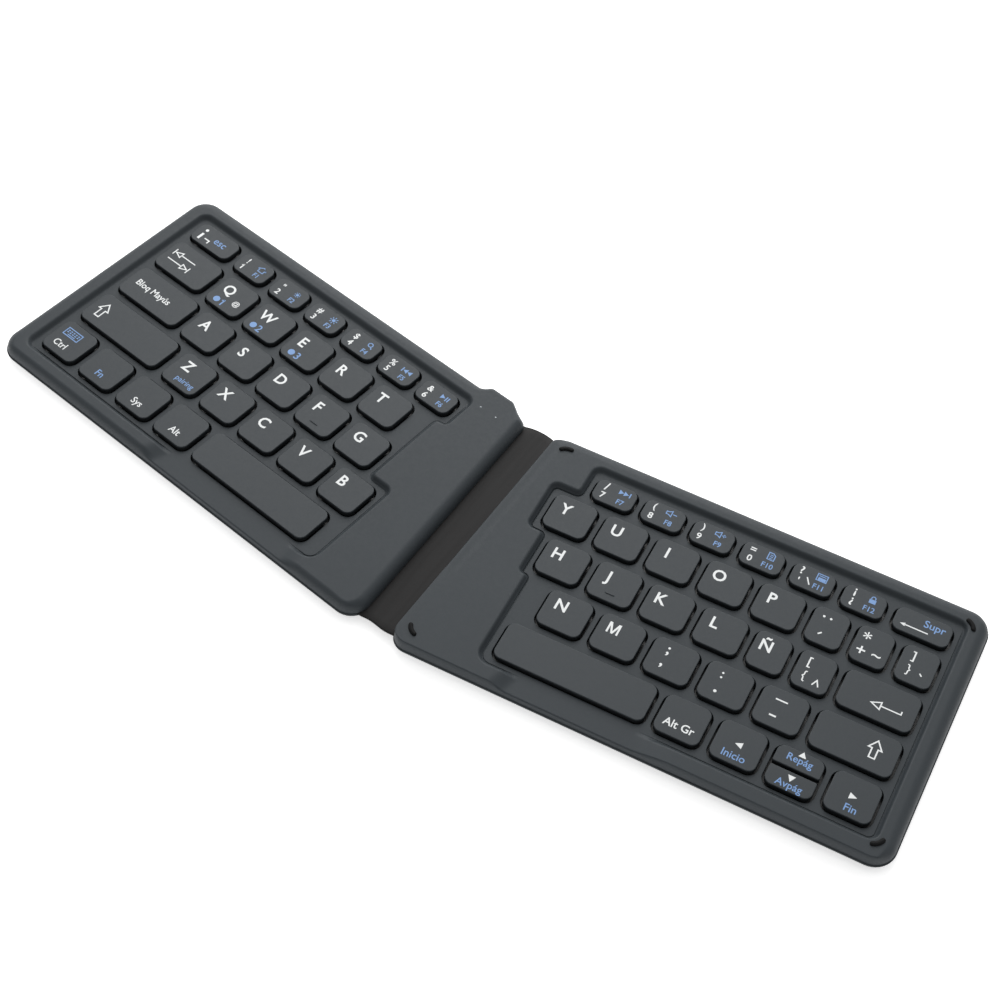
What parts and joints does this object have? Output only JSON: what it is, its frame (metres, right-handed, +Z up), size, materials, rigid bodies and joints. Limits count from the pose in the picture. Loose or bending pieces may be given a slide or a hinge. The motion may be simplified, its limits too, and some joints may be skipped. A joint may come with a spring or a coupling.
{
  "type": "folding keyboard",
  "caption": "Two-part folding keyboard: angled key halves joined by a soft strip, low keys with travel, rubber feet and corner bumpers.",
  "frame": {"origin": "centre of the bounding box, on the surface that the rubber feet stand on", "axes": "+X to the typist's right along the opened keyboard, +Y away from the typist, +Z up; the fold lines run along Y"},
  "size_m": [0.3376, 0.1156, 0.0083],
  "materials": {
    "cover_plastic": "satin moulded",
    "tray_plastic": "fine texture",
    "key_plastic": "satin painted",
    "strip_skin": "smooth coated",
    "plate_steel": "black coated",
    "contact_film": "black printed film",
    "link_nylon": "black nylon",
    "dome_silicone": "translucent",
    "board": "solder mask",
    "cell": "foil pouch",
    "socket_steel": "plated",
    "light_pipe": "clear",
    "magnet": "nickel plated",
    "foot_rubber": "matt",
    "flex_film": "polyimide"
  },
  "bodies": {
    "left_half": {"left_top_cover": "cover_plastic", "left_bottom_cover": "tray_plastic", "left_support_plate": "plate_steel", "left_membrane": "contact_film", "left_scissors": "link_nylon", "left_domes": "dome_silicone", "main_board": "board", "charge_port": "socket_steel", "indicator_lights": "light_pipe", "closing_magnets": "magnet", "left_feet": "foot_rubber", "strip_flap_left": "strip_skin"},
    "strip_spine": {"hinge_strip": "strip_skin", "flex_link": "flex_film"},
    "right_half": {"right_top_cover": "cover_plastic", "right_bottom_cover": "tray_plastic", "right_support_plate": "plate_steel", "right_membrane": "contact_film", "right_scissors": "link_nylon", "right_domes": "dome_silicone", "battery": "cell", "corner_bumpers": "foot_rubber", "right_feet": "foot_rubber", "strip_flap_right": "strip_skin"},
    "key_q": {"key_q": "key_plastic"},
    "key_w": {"key_w": "key_plastic"},
    "key_e": {"key_e": "key_plastic"},
    "key_r": {"key_r": "key_plastic"},
    "key_t": {"key_t": "key_plastic"},
    "key_a": {"key_a": "key_plastic"},
    "key_s": {"key_s": "key_plastic"},
    "key_d": {"key_d": "key_plastic"},
    "key_f": {"key_f": "key_plastic"},
    "key_g": {"key_g": "key_plastic"},
    "key_z": {"key_z": "key_plastic"},
    "key_x": {"key_x": "key_plastic"},
    "key_c": {"key_c": "key_plastic"},
    "key_v": {"key_v": "key_plastic"},
    "key_b": {"key_b": "key_plastic"},
    "space_left": {"space_left": "key_plastic"},
    "number_keys_left": {"number_keys_left": "key_plastic"},
    "modifier_keys_left": {"modifier_keys_left": "key_plastic"},
    "key_y": {"key_y": "key_plastic"},
    "key_u": {"key_u": "key_plastic"},
    "key_i": {"key_i": "key_plastic"},
    "key_o": {"key_o": "key_plastic"},
    "key_p": {"key_p": "key_plastic"},
    "key_h": {"key_h": "key_plastic"},
    "key_j": {"key_j": "key_plastic"},
    "key_k": {"key_k": "key_plastic"},
    "key_l": {"key_l": "key_plastic"},
    "key_enye": {"key_enye": "key_plastic"},
    "key_n": {"key_n": "key_plastic"},
    "key_m": {"key_m": "key_plastic"},
    "space_right": {"space_right": "key_plastic"},
    "enter_key": {"enter_key": "key_plastic"},
    "backspace_key": {"backspace_key": "key_plastic"},
    "number_keys_right": {"number_keys_right": "key_plastic"},
    "punctuation_keys": {"punctuation_keys": "key_plastic"},
    "cursor_shift_keys": {"cursor_shift_keys": "key_plastic"}
  },
  "joints": [
    {"name": "left_fold", "type": "hinge", "parent": "left_half", "child": "strip_spine", "pos_m": [-0.00396, 0, 0.00315], "axis": [0, -1, 0], "range_deg": [0, 90]},
    {"name": "right_fold", "type": "hinge", "parent": "strip_spine", "child": "right_half", "pos_m": [0.00574, 0, 0.00315], "axis": [0, -1, 0], "range_deg": [0, 90]},
    {"name": "key_q_press", "type": "slide", "parent": "left_half", "child": "key_q", "axis": [0, 0, -1], "range_m": [0, 0.0012], "stiffness_N_per_m": 400},
    {"name": "key_w_press", "type": "slide", "parent": "left_half", "child": "key_w", "axis": [0, 0, -1], "range_m": [0, 0.0012], "stiffness_N_per_m": 400},
    {"name": "key_e_press", "type": "slide", "parent": "left_half", "child": "key_e", "axis": [0, 0, -1], "range_m": [0, 0.0012], "stiffness_N_per_m": 400},
    {"name": "key_r_press", "type": "slide", "parent": "left_half", "child": "key_r", "axis": [0, 0, -1], "range_m": [0, 0.0012], "stiffness_N_per_m": 400},
    {"name": "key_t_press", "type": "slide", "parent": "left_half", "child": "key_t", "axis": [0, 0, -1], "range_m": [0, 0.0012], "stiffness_N_per_m": 400},
    {"name": "key_a_press", "type": "slide", "parent": "left_half", "child": "key_a", "axis": [0, 0, -1], "range_m": [0, 0.0012], "stiffness_N_per_m": 400},
    {"name": "key_s_press", "type": "slide", "parent": "left_half", "child": "key_s", "axis": [0, 0, -1], "range_m": [0, 0.0012], "stiffness_N_per_m": 400},
    {"name": "key_d_press", "type": "slide", "parent": "left_half", "child": "key_d", "axis": [0, 0, -1], "range_m": [0, 0.0012], "stiffness_N_per_m": 400},
    {"name": "key_f_press", "type": "slide", "parent": "left_half", "child": "key_f", "axis": [0, 0, -1], "range_m": [0, 0.0012], "stiffness_N_per_m": 400},
    {"name": "key_g_press", "type": "slide", "parent": "left_half", "child": "key_g", "axis": [0, 0, -1], "range_m": [0, 0.0012], "stiffness_N_per_m": 400},
    {"name": "key_z_press", "type": "slide", "parent": "left_half", "child": "key_z", "axis": [0, 0, -1], "range_m": [0, 0.0012], "stiffness_N_per_m": 400},
    {"name": "key_x_press", "type": "slide", "parent": "left_half", "child": "key_x", "axis": [0, 0, -1], "range_m": [0, 0.0012], "stiffness_N_per_m": 400},
    {"name": "key_c_press", "type": "slide", "parent": "left_half", "child": "key_c", "axis": [0, 0, -1], "range_m": [0, 0.0012], "stiffness_N_per_m": 400},
    {"name": "key_v_press", "type": "slide", "parent": "left_half", "child": "key_v", "axis": [0, 0, -1], "range_m": [0, 0.0012], "stiffness_N_per_m": 400},
    {"name": "key_b_press", "type": "slide", "parent": "left_half", "child": "key_b", "axis": [0, 0, -1], "range_m": [0, 0.0012], "stiffness_N_per_m": 400},
    {"name": "space_left_press", "type": "slide", "parent": "left_half", "child": "space_left", "axis": [0, 0, -1], "range_m": [0, 0.0012], "stiffness_N_per_m": 400},
    {"name": "number_keys_left_press", "type": "slide", "parent": "left_half", "child": "number_keys_left", "axis": [0, 0, -1], "range_m": [0, 0.0012], "stiffness_N_per_m": 2800},
    {"name": "modifier_keys_left_press", "type": "slide", "parent": "left_half", "child": "modifier_keys_left", "axis": [0, 0, -1], "range_m": [0, 0.0012], "stiffness_N_per_m": 2800},
    {"name": "key_y_press", "type": "slide", "parent": "right_half", "child": "key_y", "axis": [0, 0, -1], "range_m": [0, 0.0012], "stiffness_N_per_m": 400},
    {"name": "key_u_press", "type": "slide", "parent": "right_half", "child": "key_u", "axis": [0, 0, -1], "range_m": [0, 0.0012], "stiffness_N_per_m": 400},
    {"name": "key_i_press", "type": "slide", "parent": "right_half", "child": "key_i", "axis": [0, 0, -1], "range_m": [0, 0.0012], "stiffness_N_per_m": 400},
    {"name": "key_o_press", "type": "slide", "parent": "right_half", "child": "key_o", "axis": [0, 0, -1], "range_m": [0, 0.0012], "stiffness_N_per_m": 400},
    {"name": "key_p_press", "type": "slide", "parent": "right_half", "child": "key_p", "axis": [0, 0, -1], "range_m": [0, 0.0012], "stiffness_N_per_m": 400},
    {"name": "key_h_press", "type": "slide", "parent": "right_half", "child": "key_h", "axis": [0, 0, -1], "range_m": [0, 0.0012], "stiffness_N_per_m": 400},
    {"name": "key_j_press", "type": "slide", "parent": "right_half", "child": "key_j", "axis": [0, 0, -1], "range_m": [0, 0.0012], "stiffness_N_per_m": 400},
    {"name": "key_k_press", "type": "slide", "parent": "right_half", "child": "key_k", "axis": [0, 0, -1], "range_m": [0, 0.0012], "stiffness_N_per_m": 400},
    {"name": "key_l_press", "type": "slide", "parent": "right_half", "child": "key_l", "axis": [0, 0, -1], "range_m": [0, 0.0012], "stiffness_N_per_m": 400},
    {"name": "key_enye_press", "type": "slide", "parent": "right_half", "child": "key_enye", "axis": [0, 0, -1], "range_m": [0, 0.0012], "stiffness_N_per_m": 400},
    {"name": "key_n_press", "type": "slide", "parent": "right_half", "child": "key_n", "axis": [0, 0, -1], "range_m": [0, 0.0012], "stiffness_N_per_m": 400},
    {"name": "key_m_press", "type": "slide", "parent": "right_half", "child": "key_m", "axis": [0, 0, -1], "range_m": [0, 0.0012], "stiffness_N_per_m": 400},
    {"name": "space_right_press", "type": "slide", "parent": "right_half", "child": "space_right", "axis": [0, 0, -1], "range_m": [0, 0.0012], "stiffness_N_per_m": 400},
    {"name": "enter_key_press", "type": "slide", "parent": "right_half", "child": "enter_key", "axis": [0, 0, -1], "range_m": [0, 0.0012], "stiffness_N_per_m": 400},
    {"name": "backspace_key_press", "type": "slide", "parent": "right_half", "child": "backspace_key", "axis": [0, 0, -1], "range_m": [0, 0.0012], "stiffness_N_per_m": 400},
    {"name": "number_keys_right_press", "type": "slide", "parent": "right_half", "child": "number_keys_right", "axis": [0, 0, -1], "range_m": [0, 0.0012], "stiffness_N_per_m": 2400},
    {"name": "punctuation_keys_press", "type": "slide", "parent": "right_half", "child": "punctuation_keys", "axis": [0, 0, -1], "range_m": [0, 0.0012], "stiffness_N_per_m": 2800},
    {"name": "cursor_shift_keys_press", "type": "slide", "parent": "right_half", "child": "cursor_shift_keys", "axis": [0, 0, -1], "range_m": [0, 0.0012], "stiffness_N_per_m": 2400}
  ]
}
